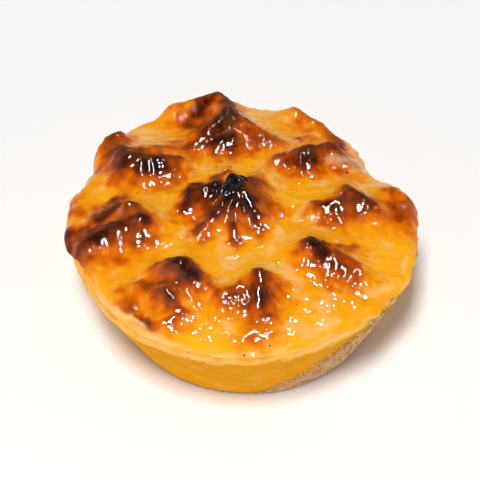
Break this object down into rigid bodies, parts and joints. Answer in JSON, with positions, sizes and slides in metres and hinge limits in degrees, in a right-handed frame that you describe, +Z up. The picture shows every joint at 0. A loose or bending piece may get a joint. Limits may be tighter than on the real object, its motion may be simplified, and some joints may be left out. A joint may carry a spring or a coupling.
{
  "type": "coconut queijada",
  "caption": "Small round tart in a thin tapered pastry cup, filled above its rim with piped coconut paste baked to slumped, browned swirls.",
  "frame": {"origin": "on the ground, under the middle of the bounding box of the tart's outline seen from above", "axes": "+Z up, the tart standing on its flat base; -Y towards the side that faced the camera, +X to that view's right"},
  "size_m": [0.0768, 0.0767, 0.0347],
  "materials": {
    "baked_pastry": "matte",
    "browned_coconut_paste": "gloss"
  },
  "bodies": {
    "root": {"pastry_case": "baked_pastry", "coconut_filling": "browned_coconut_paste"}
  },
  "joints": []
}
